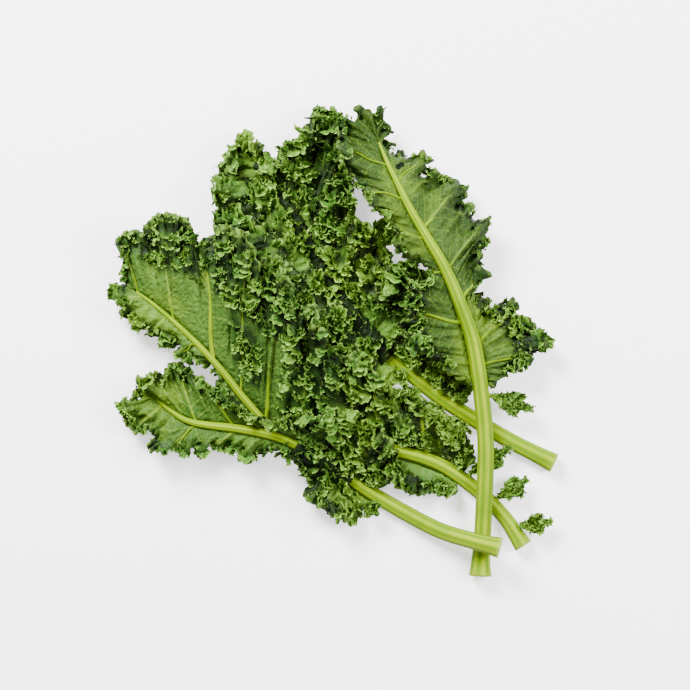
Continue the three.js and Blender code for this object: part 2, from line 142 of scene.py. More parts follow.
# %% Left leaf
LEAVES["left_leaf"] = dict(
    underside=True,
    blade_from=0.19,
    rib=[
        (153, -167, 5.2, 7.6), (146, -156, 4.4, 6.5), (137, -143, 4.1, 6.1), (117, -123, 4.1, 6.1),
        (85, -101, 4, 5.9), (49, -90, 3.8, 5.4), (9, -85, 4, 4.6), (-27, -81, 5, 4),
        (-50, -72, 9, 3.5), (-73, -47, 18, 3.2), (-90, -25, 26, 2.9), (-113, 0, 28, 2.3),
        (-142, 26, 22, 1.6), (-163, 41, 15, 1),
    ],
    margin=[
        (100, -122, 6, 0, 0.2), (84, -125, 8, 0.05, 0.7), (62, -124, 7, 0.12, 0.6),
        (36, -112, 5, 0.21, 0.1), (6, -100, 5, 0.31, 0.1), (-28, -91, 4.5, 0.42, 0.1),
        (-62, -78, 5, 0.53, 0.2), (-84, -52, 8, 0.62, 0.5), (-101, -21, 16, 0.7, 0.8),
        (-117, -5, 15, 0.76, 1), (-143, -1, 11, 0.85, 0.8), (-164, 11, 10, 0.92, 0.6),
        (-173, 37, 8, 0.97, 0.6), (-170, 62, 10, 1, 0.6), (-166, 84, 17, 0.97, 0.8),
        (-154, 96, 27, 0.91, 1), (-127, 100, 38, 0.82, 1), (-103, 90, 46, 0.72, 1),
        (-80, 90, 48, 0.65, 1), (-58, 76, 48, 0.58, 1), (-38, 54, 48, 0.51, 1),
        (-22, 28, 47, 0.43, 1), (0, 2, 42, 0.33, 1), (20, -17, 34, 0.24, 0.9),
        (40, -31, 25, 0.17, 0.8), (60, -43, 18, 0.12, 0.8), (78, -56, 15, 0.07, 0.9),
        (95, -69, 14, 0.035, 0.9), (110, -80, 12, 0.01, 0.8), (112, -98, 8, 0, 0.3),
    ],
    arch=5,
    broad=dict(count=14, height=7.6, phase=1.9, start=0.15, drift=0.2),
    short=dict(count=42, height=5.4, phase=0.3, start=0.45, drift=0.5),
    fine_from=0.5,
    frills=[
        (0.02, 0.12, 0.4, 0.96, 5), (0.28, 0.36, 0.8, 0.97, 4.5), (0.36, 0.52, 0.6, 0.97, 5),
        (0.52, 0.595, 0.5, 0.97, 4.5), (0.595, 0.612, 0.75, 0.97, 4.5),
        (0.612, 0.69, 0.5, 0.97, 4.5), (0.635, 0.685, 0.12, 0.4, 4.5),
        (0.69, 0.72, 0.55, 0.97, 5), (0.72, 0.98, 0.12, 0.97, 5.5),
    ],
    veins=[
        (0.35, 0.7), (0.39, 0.7), (0.44, 0.7), (0.5, 0.7), (0.552, 1), (0.603, 2), (0.65, 0.8),
        (0.703, 1.4), (0.755, 1), (0.845, 1.6), (0.905, 2),
    ],
    bare=[
        (76, -55, 6), (80, -70, 6), (84, -85, 6), (45, -40, 6), (49, -52, 6), (53, -64, 6), (8, 18, 8),
    ],
    crevices=[(-7, 15, 7), (2, -47, 9), (-14, -60, 7), (-27, -4, 6), (22, -52, 7)],
    leaflets=[(0.045, -1, 25, 15, 4, 0.4), (0.11, -1, 27, 15, 4, 0.2), (0.185, -1, 36, 16, 4, 0.35)],
    sprigs=[
        (52, -35, 7, -33, 22, 7, 2), (71, -48.5, 7, -33, 22, 7, 2), (89, -60.5, 7, -33, 22, 7, 2),
        (84, -112, 9, -60, 15, 14, 3),
    ],
)
print("left leaf", len(LEAVES["left_leaf"]["margin"]), "points round its margin")

# %% [markdown]
# ## The lower leaf
#
# It lies with its underside up too, and its cut end rests on the right leaf's stem, so its line starts
# high and comes down to the table. Only its base is frilled all over. Its midrib runs under those
# frills for a short way.

# %% Lower leaf
LEAVES["lower_leaf"] = dict(
    underside=True,
    blade_from=0.36,
    rib=[
        (133, -167, 26.5, 8.4), (121, -164, 24.6, 7.2), (109, -161, 21, 6.8), (85, -154, 11, 6.7),
        (57, -140, 4.8, 6.5), (30, -124, 6, 6), (0, -104, 12, 5), (-25, -88, 18, 4.4),
        (-46, -78, 21.5, 4), (-75, -72, 21, 3.6), (-113, -67, 17, 2.8), (-131, -58, 13, 1.9),
        (-147, -45, 10, 1.1),
    ],
    margin=[
        (31, -136, 9, 0, 0.2), (24, -142, 10, 0.04, 0.7), (8, -144, 10, 0.1, 1),
        (-12, -134, 10, 0.16, 1), (-27, -120, 10, 0.24, 1), (-30, -101, 12, 0.3, 0.8),
        (-42, -90, 15, 0.38, 0.5), (-63, -92, 13, 0.48, 0.8), (-95, -91, 13, 0.6, 1),
        (-119, -89, 13, 0.72, 1), (-147, -86, 11, 0.84, 1), (-163, -74, 10, 0.94, 1),
        (-169, -58, 8, 1, 1), (-164, -42, 10, 0.96, 1), (-149, -28, 12, 0.88, 1),
        (-127, -17, 14, 0.78, 1), (-113, -26, 17, 0.68, 0.8), (-98, -40, 22, 0.58, 0.4),
        (-80, -54, 26, 0.49, 0.2), (-52, -64, 28, 0.38, 0.4), (-26, -58, 34, 0.28, 0.8),
        (4, -56, 36, 0.19, 1), (34, -68, 32, 0.11, 1), (54, -94, 22, 0.05, 1), (48, -116, 15, 0, 0.4),
    ],
    cover=(0.43, 0.6),
    bare=[(-10, -75, 6), (0, -125, 6)],
    crevices=[(7, -93, 5), (-22, -100, 6), (30, -90, 6)],
    sprigs=[(10, -121, 9, -82, 24, 15, 1.5), (24, -130, 12, -45, 14, 14, 3)],
    arch=4,
    broad=dict(count=11, height=6, phase=2.6, start=0, drift=0.2),
    short=dict(count=34, height=5, phase=1.7, start=0.3, drift=0.5),
    fine_from=0.4,
    frills=[
        (0.03, 0.2, 0.15, 0.96, 5.5), (0.2, 0.62, 0.78, 0.97, 4.5), (0.62, 0.75, 0.6, 0.97, 5),
        (0.75, 0.99, 0.12, 0.96, 6.5),
    ],
    veins=[
        (0.3, 0.8), (0.36, 0.8), (0.42, 0.7), (0.5, 0.7), (0.56, 0.8), (0.61, 1), (0.66, 0.9),
    ],
    leaflets=[],
)
print("lower leaf", len(LEAVES["lower_leaf"]["margin"]), "points round its margin")

# %% [markdown]
# ## The right leaf
#
# It lies on top of the others with its underside up, nearly smooth, with a long stem and a midrib that
# shows to its tip. Insects have eaten a hole beside the tip. A real opening would need a cut in the
# mesh, and at this size a dark spot in the colour looks the same.

# %% Right leaf
LEAVES["right_leaf"] = dict(
    underside=True,
    blade_from=0.42,
    rib=[
        (118, -191, 6.6, 9.4), (118.5, -180, 7, 7.8), (119.5, -162, 10.5, 7), (121, -125, 16.6, 6.8),
        (122, -88, 18, 6.8), (119, -50, 21, 6.6), (112, -4, 28, 6.2), (101, 28, 35, 5.3),
        (89, 56, 38, 4.6), (75, 80, 39, 3.9), (62, 102, 38, 3.3), (53, 120, 35, 2.7),
        (43, 141, 29, 1.8), (35, 161, 22, 1),
    ],
    margin=[
        (109, -34, 26, 0, 0.2), (92, -26, 31, 0.03, 0.4), (72, -12, 36, 0.09, 0.6),
        (56, 2, 43, 0.16, 0.8), (52, 20, 45, 0.24, 0.8), (60, 40, 45, 0.33, 0.7),
        (74, 51, 43, 0.41, 0.4), (66, 62, 44, 0.46, 0.6), (50, 72, 46, 0.53, 0.7),
        (48, 84, 46, 0.57, 0.7), (37, 98, 46, 0.65, 0.6), (14, 128, 44, 0.78, 0.7),
        (1, 152, 41, 0.88, 0.8), (-3, 160, 38, 0.92, 0.8), (3, 169, 33, 0.96, 0.9),
        (13, 177, 26, 0.99, 1), (21, 182, 20, 1, 1), (29, 180, 16, 0.99, 1), (41, 164, 10, 0.96, 1),
        (53, 152, 8, 0.92, 1), (67, 146, 8, 0.84, 1), (76, 135, 14, 0.77, 0.8),
        (85, 139, 9, 0.72, 1), (96, 127, 9, 0.64, 1), (109, 118, 10, 0.56, 1),
        (117, 104, 12, 0.48, 1), (118, 88, 15, 0.42, 1), (112, 74, 20, 0.38, 0.8),
        (122, 68, 15, 0.35, 1), (118, 54, 17, 0.32, 1), (108, 40, 22, 0.28, 0.8),
        (121, 33, 18, 0.22, 1), (141, 25, 11, 0.17, 1), (157, 22, 8, 0.13, 1), (166, 8, 8, 0.1, 1),
        (165, -6, 8, 0.07, 1), (150, -24, 12, 0.04, 0.9), (134, -34, 18, 0.01, 0.5),
        (127, -41, 20, 0, 0.2),
    ],
    holes=[(51.5, 138.4, 2.6), (54.2, 140.2, 2.4)],
    arch=4,
    broad=dict(count=13, height=7, phase=0.9, start=0.1, drift=0.2),
    short=dict(count=40, height=5.8, phase=2.2, start=0.4, drift=0.5),
    fine_from=0.6,
    frills=[
        (0.04, 0.2, 0.6, 0.97, 5.5), (0.2, 0.34, 0.85, 0.98, 4.5), (0.34, 0.56, 0.82, 0.98, 4.2),
        (0.56, 0.8, 0.88, 0.99, 2.2), (0.8, 0.96, 0.5, 0.97, 5.5),
    ],
    veins=[
        (0.13, 1.3), (0.2, 0.7), (0.265, 1), (0.33, 1), (0.39, 0.7), (0.56, 0.7), (0.625, 1.3),
        (0.68, 0.7), (0.755, 1.3), (0.855, 1.3), (0.92, 0.8),
    ],
    leaflets=[(0.4, -1, 34, 17, -8, 0.45)],
)
print("right leaf", len(LEAVES["right_leaf"]["margin"]), "points round its margin")

# %% [markdown]
# ## Smooth lines
#
# Stems and margins bend smoothly, with no corners. Blender's own curve objects could carry these lines
# too. Plain arrays are used here because every later step asks for thousands of points at once.
#
# A `Line` is a cubic curve through points of any number of values, looked up by the share of
# its length. `crossing` gives the directions across a stem.

# %% Lines
def ramp(x):
    """0 below 0 and 1 above 1, with a soft rise between them."""
    x = np.clip(x, 0, 1)
    return x * x * (3 - 2 * x)


class Line:
    """A smooth curve through points of any number of values, looked up by the share of its length."""

    def __init__(self, points, samples=600):
        self.points = np.array(points, float)
        self.shares = np.linspace(0, 1, samples + 1)
        steps = np.linalg.norm(np.diff(self.raw(self.shares)[:, :3], axis=0), axis=1)
        self.table = np.concatenate([[0], np.cumsum(steps)])
        self.length = self.table[-1]

    def raw(self, share):
        p = self.points
        whole = share * (len(p) - 1)
        i = np.minimum(whole.astype(int), len(p) - 2)
        t = (whole - i)[:, None]
        a, b, c, d = p[np.maximum(i - 1, 0)], p[i], p[i + 1], p[np.minimum(i + 2, len(p) - 1)]
        return 0.5 * (
            2 * b + (c - a) * t + (2 * a - 5 * b + 4 * c - d) * t**2 + (3 * b - a - 3 * c + d) * t**3
        )

    def at(self, share):
        flat = np.clip(np.asarray(share, float).ravel(), 0, 1)
        values = self.raw(np.interp(flat * self.length, self.table, self.shares))
        return values.reshape(np.shape(share) + (-1,))


def unit(v):
    return v / np.maximum(np.linalg.norm(v, axis=-1, keepdims=True), 1e-9)


UP = np.array([0.0, 0.0, 1.0])


def crossing(rib, share):
    """Middle and radius of a stem, with the directions along it, to its left and up from it."""
    here = rib.at(share)
    along = unit(rib.at(share + 0.004)[..., :3] - rib.at(share - 0.004)[..., :3])
    left = unit(np.cross(np.broadcast_to(UP, along.shape), along))
    return here[..., :3], here[..., 3:4], along, left, np.cross(along, left)


for leaf in LEAVES.values():
    leaf["line"] = Line(leaf["rib"])
    leaf["edge"] = Line(leaf["margin"])
    feet = leaf["edge"].at(np.linspace(0, 1, 401))[:, 3]
    leaf["tip"] = np.argmax(feet) / 400
    print("stem and midrib", round(leaf["line"].length), "mm, margin", round(leaf["edge"].length), "mm")

# %% [markdown]
# ## The blade's shape
#
# The margin of curly kale grows faster than the rest of the leaf, so it is too long for the line that
# it follows and has to stand in waves. A displacement by noise would give bumps but never this rhythm.
# So the blade is a formula: `calm` is the blade without waves, and `waved` moves a surface along its
# own normal, in waves that grow towards the margin. Short waves then ride on broad ones.

# %% Blade surfaces
def calm(leaf, turn, out):
    """A blade without waves: 0 to 1 round it, and 0 to 1 out from the midrib to the margin."""
    mark = leaf["edge"].at(turn)
    share = np.clip(mark[..., 3], 0, 1)
    along = leaf["blade_from"] + (1 - leaf["blade_from"]) * share
    centre, radius, _, left, _ = crossing(leaf["line"], along)
    # It starts beside the midrib, and nearer to the middle where the midrib fades out.
    beside = np.minimum(1, 1.3 * (1 - share) / (1 - RIB_END))[..., None] * radius * 0.75
    start = centre + left * np.where(turn < leaf["tip"], 1, -1)[..., None] * beside
    start[..., 2:] += (-0.4 if leaf["underside"] else 0.4) * radius
    # Notches divide the margin into lobes.
    wave = mark[..., 4]
    notch = np.abs(np.cos(math.pi * LOBES * turn)) ** 8 * ramp((out - 0.4) / 0.6)
    reach = out * (1 - LOBE_DEPTH * notch * wave)
    point = start + (mark[..., :3] - start) * reach[..., None]
    point[..., 2] += leaf["arch"] * np.sin(math.pi * out)
    return point, wave


def waved(surface, count, height, phase, start, drift):
    """The same surface with a set of waves on it, which grow from start out to the margin."""

    def shape(leaf, turn, out):
        point, wave = surface(leaf, turn, out)

        def place(r, o):
            return surface(leaf, np.clip(r, 0, 1), np.clip(o, 0, 1))[0]

        across = place(turn + 0.002, out) - place(turn - 0.002, out)
        outward = place(turn, out + 0.02) - place(turn, out - 0.02)
        normal = unit(np.cross(outward, across))
        normal *= np.where(normal[..., 2:] < 0, -1, 1)
        sway = drift * np.sin(TAU * (turn * 4 + out * 0.4) + 2 * phase)
        rise = np.sin(TAU * (count * turn + sway) + phase)
        size = wave * height * ramp((out - start) / (1 - start)) * rise
        return point + normal * size[..., None], wave

    return shape


for leaf in LEAVES.values():
    leaf["surface"] = waved(waved(calm, **leaf["broad"]), **leaf["short"])
    rim = leaf["surface"](leaf, np.linspace(0, 1, 400), np.ones(400))[0]
    print("the margin stands up to", round(rim[:, 2].max()), "mm high")

# %% [markdown]
# ## Clumps
#
# The frilled part of a blade bulges up in clumps with deep crevices between them. They could be painted
# by hand. Scattering their middles with a seeded draw takes a few lines and comes out the same each
# time: a clump is the part of the blade nearest to one middle. The largest gaps and the smooth places
# of the photographed leaves are added from the tables.

# %% Clumps of frills
CLUMP = 25  # usual distance between the middles of two clumps, in millimetres
DRAWS = 900  # places tried as the middle of a clump
CREVICE = 0.07  # width of the gap between two clumps, as a share of CLUMP
SHOULDER = 0.3  # way over which a clump rises from its crevice, as a share of CLUMP
WANDER = 2.5, 19  # how far the borders of the clumps swing, and over what length, in millimetres


def clump_middles(leaf, seed):
    draw = np.random.default_rng(seed)
    places = leaf["surface"](leaf, draw.uniform(0, 1, DRAWS), draw.uniform(0.1, 1.02, DRAWS))[0]
    kept = []
    for place in places:
        if all(np.linalg.norm(place - other) > 0.8 * CLUMP for other in kept):
            kept.append(place)
    return np.array(kept)


def near(spots, points):
    """1 in the middle of one of some round places, and 0 outside them all."""
    share = np.zeros(points.shape[:-1])
    for x, y, size in spots:
        far = np.hypot(points[..., 0] - x, points[..., 1] - y) / size
        share = np.maximum(share, 1 - ramp((far - 0.6) / 0.4))
    return share


def clumps(relief, points):
    """How far inside a clump each point lies, 0 in a crevice to 1, and its way from the middle."""
    middles = relief["middles"]
    swing, length = WANDER
    bent = points[..., :2] + swing * np.sin(TAU * points[..., 1::-1] / length)
    away = bent[..., None, :] - middles[:, :2]
    far = np.linalg.norm(away, axis=-1)
    nearest = np.argmin(far, axis=-1)[..., None, None]
    away = away / np.maximum(1, far / (0.6 * CLUMP))[..., None]
    outwards = np.take_along_axis(away, nearest, -2)[..., 0, :] / CLUMP
    if len(middles) < 2:
        return np.ones(points.shape[:-1]), outwards
    two = np.sort(far, axis=-1)[..., :2]
    inside = ramp(((two[..., 1] - two[..., 0]) / CLUMP - CREVICE) / SHOULDER)
    return inside * (1 - near(relief["crevices"], points)), outwards


def frilled(leaf, turn, out):
    """1 where the blade lies in one of its frilled zones, and 0 elsewhere."""
    share = np.zeros(np.shape(out))
    for first, last, low, high, _ in leaf["frills"]:
        inside = (turn > first) & (turn < last)
        share = np.maximum(share, inside * ramp((out - low + 0.06) / 0.12) * (out < high + 0.04))
    return share


for index, (name, leaf) in enumerate(LEAVES.items()):
    middles = clump_middles(leaf, index)
    leaf["relief"] = dict(middles=middles, bare=leaf.get("bare", []), crevices=leaf.get("crevices", []))
    print(name, len(middles), "clumps")

# %% [markdown]
# ## Sheets as meshes
#
# A leaf is a thin sheet with two faces and a rim. Blender's Solidify modifier could thicken it, but
# here the faces also carry values for the materials, so the sheet is built whole from a grid of points.
# `normals` finds its directions, `grid_faces` joins neighbouring points, and `thick_sheet` gives the
# sheet its two faces and its rim.

# %% Sheets
SHEET = 0.5  # thickness of a leaf, in millimetres


def normals(grid):
    """The direction away from a sheet at each point of its grid, upwards on the whole."""
    across = np.gradient(grid, axis=0)
    outward = np.gradient(grid, axis=1)
    n = unit(np.cross(outward, across))
    return n if n[..., 2].mean() > 0 else -n


def grid_faces(rows, columns, base=0, flip=False):
    i, j = np.meshgrid(np.arange(rows - 1), np.arange(columns - 1), indexing="ij")
    a = base + i * columns + j
    quads = np.stack([a, a + 1, a + columns + 1, a + columns], -1).reshape(-1, 4)
    return quads[:, ::-1] if flip else quads


def thick_sheet(grid, thickness):
    """Points and faces of a thin closed sheet round a grid of points."""
    rows, columns = grid.shape[:2]
    n = normals(grid)
    above = (grid + n * thickness / 2).reshape(-1, 3)
    below = (grid - n * thickness / 2).reshape(-1, 3)
    count = rows * columns
    index = np.arange(count).reshape(rows, columns)
    ring = np.concatenate([index[0, :], index[1:, -1], index[-1, -2::-1], index[-2:0:-1, 0]])
    nxt = np.roll(ring, -1)
    rim = np.stack([ring, ring + count, nxt + count, nxt], -1)
    faces = np.concatenate([grid_faces(rows, columns), grid_faces(rows, columns, count, True), rim])
    points = np.concatenate([above, below])
    points[:, 2] = np.maximum(points[:, 2], TABLE)
    return points, faces


square = np.array([[(0, 0, 5), (0, 10, 5)], [(10, 0, 5), (10, 10, 5)]], float)
print("one square as a thin sheet has", len(thick_sheet(square, SHEET)[1]), "faces")

# %% [markdown]
# ## Values on the points
#
# Every point of a leaf knows how near the margin and how deep between the frills it lies, and its colour
# depends on that, with painted shade deep between the frills. The values could be painted by hand in
# Blender's vertex paint. Here they come from the formula that shapes the leaf, so that colour and form
# always agree.

# %% Meshes with values
def mesh_object(name, points, faces, values, material):
    """A smooth object from points in millimetres, with named values on the points."""
    mesh = bpy.data.meshes.new(name)
    mesh.from_pydata((points * MM).tolist(), [], faces)
    for key, data in values.items():
        flat = np.asarray(data, np.float32).ravel()
        mesh.attributes.new(key, "FLOAT", "POINT").data.foreach_set("value", flat)
    mesh.polygons.foreach_set("use_smooth", np.ones(len(mesh.polygons), bool))
    mesh.materials.append(material)
    mesh.update()
    obj = bpy.data.objects.new(name, mesh)
    bpy.context.scene.collection.objects.link(obj)
    return obj


def both(values):
    """Each named grid of values, once for the upper face and once for the lower."""
    return {key: np.concatenate([np.ravel(v), np.ravel(v)]) for key, v in values.items()}


def join(parts):
    """Several (points, faces, values) lists as one."""
    points, faces, values, base = [], [], {}, 0
    for p, f, v in parts:
        points.append(p)
        faces.extend([[k + base for k in face] for face in f])
        for key in v:
            values.setdefault(key, []).append(v[key])
        base += len(p)
    return np.concatenate(points), faces, {key: np.concatenate(v) for key, v in values.items()}


# %% [markdown]
# ## Materials
#
# Kale is matt and waxy: dark green above, paler below, with yellow-green veins and almost white-green
# edges, partly painted highlight. A painted image could show this, but colours worked out from values
# on the points stay sharp at any distance and follow each fold. `Nodes` is a short way to write such a
# material.

# %% Node helpers
class Nodes:
    """A material and its nodes. Each method adds one node and returns what it gives out."""

    def __init__(self, name):
        self.material = bpy.data.materials.new(name)
        self.material.use_nodes = True
        self.tree = self.material.node_tree
        self.shader = self.tree.nodes["Principled BSDF"]

    def new(self, kind, inputs=(), **settings):
        node = self.tree.nodes.new("ShaderNode" + kind)
        for key, value in settings.items():
            setattr(node, key, value)
        for key, value in dict(inputs).items():
            self.set(node.inputs[key], value)
        return node

    def set(self, socket, value):
        if isinstance(value, bpy.types.NodeSocket):
            self.tree.links.new(value, socket)
        else:
            socket.default_value = value

    def value(self, name):
        """A named value of the mesh."""
        return self.new("Attribute", attribute_name=name).outputs["Fac"]

    def math(self, operation, a, b):
        return self.new("Math", {0: a, 1: b}, operation=operation).outputs[0]

    def fade(self, value, low, high, to_low=0.0, to_high=1.0):
        """A soft change from to_low to to_high while value goes from low to high."""
        inputs = {"Value": value, "From Min": low, "From Max": high, "To Min": to_low, "To Max": to_high}
        return self.new("MapRange", inputs, interpolation_type="SMOOTHSTEP").outputs["Result"]

    def mix(self, share, a, b):
        """A colour between two. A Mix node's sockets 6 and 7 are its colours, and 2 is its result."""
        node = self.new("Mix", data_type="RGBA")
        self.set(node.inputs[0], share)
        self.set(node.inputs[6], a)
        self.set(node.inputs[7], b)
        return node.outputs[2]

    def spot(self, x, y, size):
        """1 inside an upright cylinder, and 0 outside it."""
        place = self.new("TexCoord").outputs["Object"]
        flat = self.new("VectorMath", {0: place, 1: (1, 1, 0)}, operation="MULTIPLY").outputs["Vector"]
        middle = (x * MM, y * MM, 0)
        far = self.new("VectorMath", {0: flat, 1: middle}, operation="DISTANCE").outputs["Value"]
        return self.fade(far, 0.8 * size * MM, 1.1 * size * MM, 1.0, 0.0)

    def noise(self, scale, detail=3.0):
        """Cloudy patches, about 1 / scale metres wide."""
        place = self.new("TexCoord").outputs["Object"]
        inputs = {"Vector": place, "Scale": scale, "Detail": detail, "Roughness": 0.55}
        return self.new("TexNoise", inputs).outputs["Fac"]

    def cells(self, scale):
        """Distance to the border between cells that are about 1 / scale metres wide."""
        place = self.new("TexCoord").outputs["Object"]
        inputs = {"Vector": place, "Scale": scale}
        return self.new("TexVoronoi", inputs, feature="DISTANCE_TO_EDGE").outputs["Distance"]


def rgb(r, g, b):
    """An everyday 0 to 255 colour as the linear colour that a shader takes."""
    return tuple(((v / 255 + 0.055) / 1.055) ** 2.4 if v > 10 else v / 3294 for v in (r, g, b)) + (1.0,)


print("a middle grey in linear light:", round(rgb(128, 128, 128)[0], 3))

# %% [markdown]
# ## The blade's green
#
# Leaf tissue shines through a little and is puckered between the veins. One function makes it for
# every leaf from four greens, because the leaves differ in colour and not in kind. It mixes them by
# how near the margin a point is, how far it lies from the nearest side vein, and its painted shade.

# %% Blade material
YOUNG_GREEN = rgb(110, 138, 24)
# Painted shade: crevices, creases and the foot of each frill are darkened towards this near black, as are
# the holes.
NEAR_BLACK = rgb(6, 15, 3)  # the dark of the crevices, the same on every leaf


def blade_material(name, smooth_green, deep_green, edge_green, vein_green, holes=()):
    n = Nodes(name)
    # Broad patches, younger tissue, fine specks, and painted shade between the clumps and among the frills.
    patches = n.fade(n.noise(24), 0.38, 0.62)
    green = n.mix(patches, deep_green, smooth_green)
    green = n.mix(n.math("MULTIPLY", n.fade(n.noise(15), 0.5, 0.7), 0.4), green, YOUNG_GREEN)
    specks = n.fade(n.noise(190, 2.0), 0.4, 0.62)
    green = n.mix(n.math("MULTIPLY", specks, 0.3), green, deep_green)
    green = n.mix(n.fade(n.value("shade"), 0.0, 1.0), NEAR_BLACK, green)
    # Painted shade in creases in the outer part, and a pale broken line along the margin, partly its own
    # paler green and partly painted highlight where the thin edge catches the light.
    edge = n.value("edge")
    crease_shade = n.math("MULTIPLY", n.fade(n.noise(420, 2.0), 0.44, 0.6, 1.0, 0.0), n.fade(edge, 0.3, 0.6))
    green = n.mix(n.math("MULTIPLY", crease_shade, 0.45), green, NEAR_BLACK)
    rim = n.math("MULTIPLY", n.fade(edge, 0.9, 1.0), n.fade(n.noise(230, 2.0), 0.4, 0.58))
    green = n.mix(n.math("MULTIPLY", rim, 0.8), green, edge_green)
    # Side veins are slanting stripes on both sides of a vein. A net of finer ones fills the rest.
    across = n.value("across")
    along = n.value("along")
    bend = n.math("MULTIPLY", n.math("SUBTRACT", n.noise(60), 0.5), 7.0)
    slant = n.math("ADD", n.math("SUBTRACT", along, n.math("MULTIPLY", across, 0.9)), bend)
    stripe = n.math("PINGPONG", slant, 5.5)
    side_vein = n.math("MULTIPLY", n.fade(stripe, 0.1, 0.6, 1.0, 0.0), n.value("smooth"))
    net = n.math("MULTIPLY", n.fade(n.cells(360), 0.02, 0.12, 1.0, 0.0), n.value("smooth"))
    veins = n.math("MAXIMUM", n.math("MULTIPLY", side_vein, 0.55), n.math("MULTIPLY", net, 0.22))
    main_vein = n.math("MULTIPLY", n.fade(across, 0.2, 1.6, 1.0, 0.0), n.fade(edge, 0.5, 0.9, 1.0, 0.0))
    veins = n.math("MAXIMUM", veins, n.math("MULTIPLY", main_vein, 0.7))
    colour = n.mix(n.math("MULTIPLY", veins, 0.8), green, vein_green)
    for x, y, size in holes:
        colour = n.mix(n.spot(x, y, size), colour, NEAR_BLACK)
    n.set(n.shader.inputs["Base Color"], colour)
    # Waxy tissue: matt, a little light passes through it, and it is puckered between the veins.
    n.set(n.shader.inputs["Roughness"], n.fade(n.noise(90), 0.2, 0.8, 0.44, 0.6))
    n.shader.inputs["Specular IOR Level"].default_value = 0.08
    n.shader.inputs["Subsurface Weight"].default_value = 0.06
    n.shader.inputs["Subsurface Scale"].default_value = 0.001
    n.shader.inputs["Subsurface Radius"].default_value = (0.5, 1.0, 0.2)
    pucker = n.math("MULTIPLY", n.fade(n.cells(170), 0.0, 0.5), n.value("smooth"))
    puff = n.math("ADD", n.math("MULTIPLY", pucker, 0.8), n.math("MULTIPLY", n.noise(300), 0.8))
    bump = n.new("Bump", {"Height": puff, "Strength": 0.8, "Distance": 0.0012})
    n.set(n.shader.inputs["Normal"], bump.outputs["Normal"])
    return n.material


# %% [markdown]
# ## The stem's green
#
# A kale stem is yellow-green, smooth and streaked along its length, with a pale cut end, and painted
# shade makes it darker at its sides. The streaks could be modelled, but they're colour and not form, so
# values on the points of the stem choose between the greens.

# %% Stem material
GROOVE_GREEN = rgb(84, 114, 0)
RIDGE_GREEN = rgb(124, 145, 0)
MOTTLED_GREEN = rgb(58, 92, 0)
SIDE_SHADE_GREEN = rgb(52, 86, 0)
CUT_GREEN = rgb(160, 172, 60)


def stem_material(name):
    n = Nodes(name)
    streak = n.fade(n.value("streak"), 0.0, 1.0)
    green = n.mix(streak, GROOVE_GREEN, RIDGE_GREEN)
    green = n.mix(n.math("MULTIPLY", n.fade(n.noise(35), 0.4, 0.7), 0.4), green, MOTTLED_GREEN)
    # Painted shade: the stem is darker towards its two sides.
    green = n.mix(n.math("MULTIPLY", n.value("side"), 0.55), green, SIDE_SHADE_GREEN)
    green = n.mix(n.math("MULTIPLY", n.value("cut"), 0.5), green, CUT_GREEN)
    n.set(n.shader.inputs["Base Color"], green)
    n.set(n.shader.inputs["Roughness"], n.fade(n.noise(120), 0.3, 0.7, 0.5, 0.6))
    n.shader.inputs["Specular IOR Level"].default_value = 0.05
    n.shader.inputs["Subsurface Weight"].default_value = 0.05
    n.shader.inputs["Subsurface Scale"].default_value = 0.004
    n.shader.inputs["Subsurface Radius"].default_value = (0.8, 1.0, 0.2)
    bump = n.new("Bump", {"Height": n.noise(420), "Strength": 0.25, "Distance": 0.0004})
    n.set(n.shader.inputs["Normal"], bump.outputs["Normal"])
    return n.material


# %% [markdown]
# ## A green for each leaf
#
# Three leaves show their paler underside and one its dark upper side. The frills are painted lighter
# than the blades: painted light, for their thin edges catch the light. One material could serve all,
# with a mask for each leaf, but a table of greens is easier to read. Each row gives the smooth part, the
# deep part, the edge with its painted highlight, and the veins.

# %% Greens
GREENS = {
    "kale_upper_side": [(74, 110, 34), (48, 80, 22), (96, 130, 46), (104, 132, 42)],
    "pale_kale_underside": [(59, 91, 31), (40, 69, 22), (88, 117, 42), (117, 142, 46)],
    "kale_underside": [(60, 90, 26), (39, 69, 19), (88, 116, 37), (120, 144, 40)],
    "deep_kale_underside": [(44, 68, 22), (29, 51, 14), (74, 101, 32), (98, 122, 28)],
    "kale_frill": [(102, 144, 46), (68, 110, 34), (142, 176, 80), (90, 116, 36)],
}


def green_material(name, holes=()):
    return blade_material(name, *[rgb(*green) for green in GREENS[name]], holes)


LEAVES["middle_leaf"]["material"] = green_material("kale_upper_side")
LEAVES["left_leaf"]["material"] = green_material("pale_kale_underside")
LEAVES["lower_leaf"]["material"] = green_material("kale_underside")
LEAVES["right_leaf"]["material"] = green_material("deep_kale_underside", LEAVES["right_leaf"]["holes"])
FRILL = green_material("kale_frill")
STEM = stem_material("kale_stem")
print("materials", [material.name for material in bpy.data.materials])

# %% [markdown]
# ## Blades
#
# The blade could come from subdividing the solid's mesh, but its few faces would leave their marks.
# So a fine grid follows the same surface afresh. Two more sets of waves ride on it, each shorter and
# lower, and the margin gets small teeth. The smooth part, which would look like paper without them,
# gets low folds.

# %% The fine form of a blade
COLUMNS = 1536  # steps of the full grid round a blade
ROWS = [  # how far out each row lies, and how many columns of the full grid one of its steps takes
    (0, 4), (0.08, 4), (0.16, 4), (0.24, 4), (0.32, 4), (0.4, 4), (0.48, 4), (0.55, 2), (0.62, 2),
    (0.68, 2), (0.74, 2), (0.8, 1), (0.84, 1), (0.88, 1), (0.91, 1), (0.94, 1), (0.97, 1), (1, 1),
]
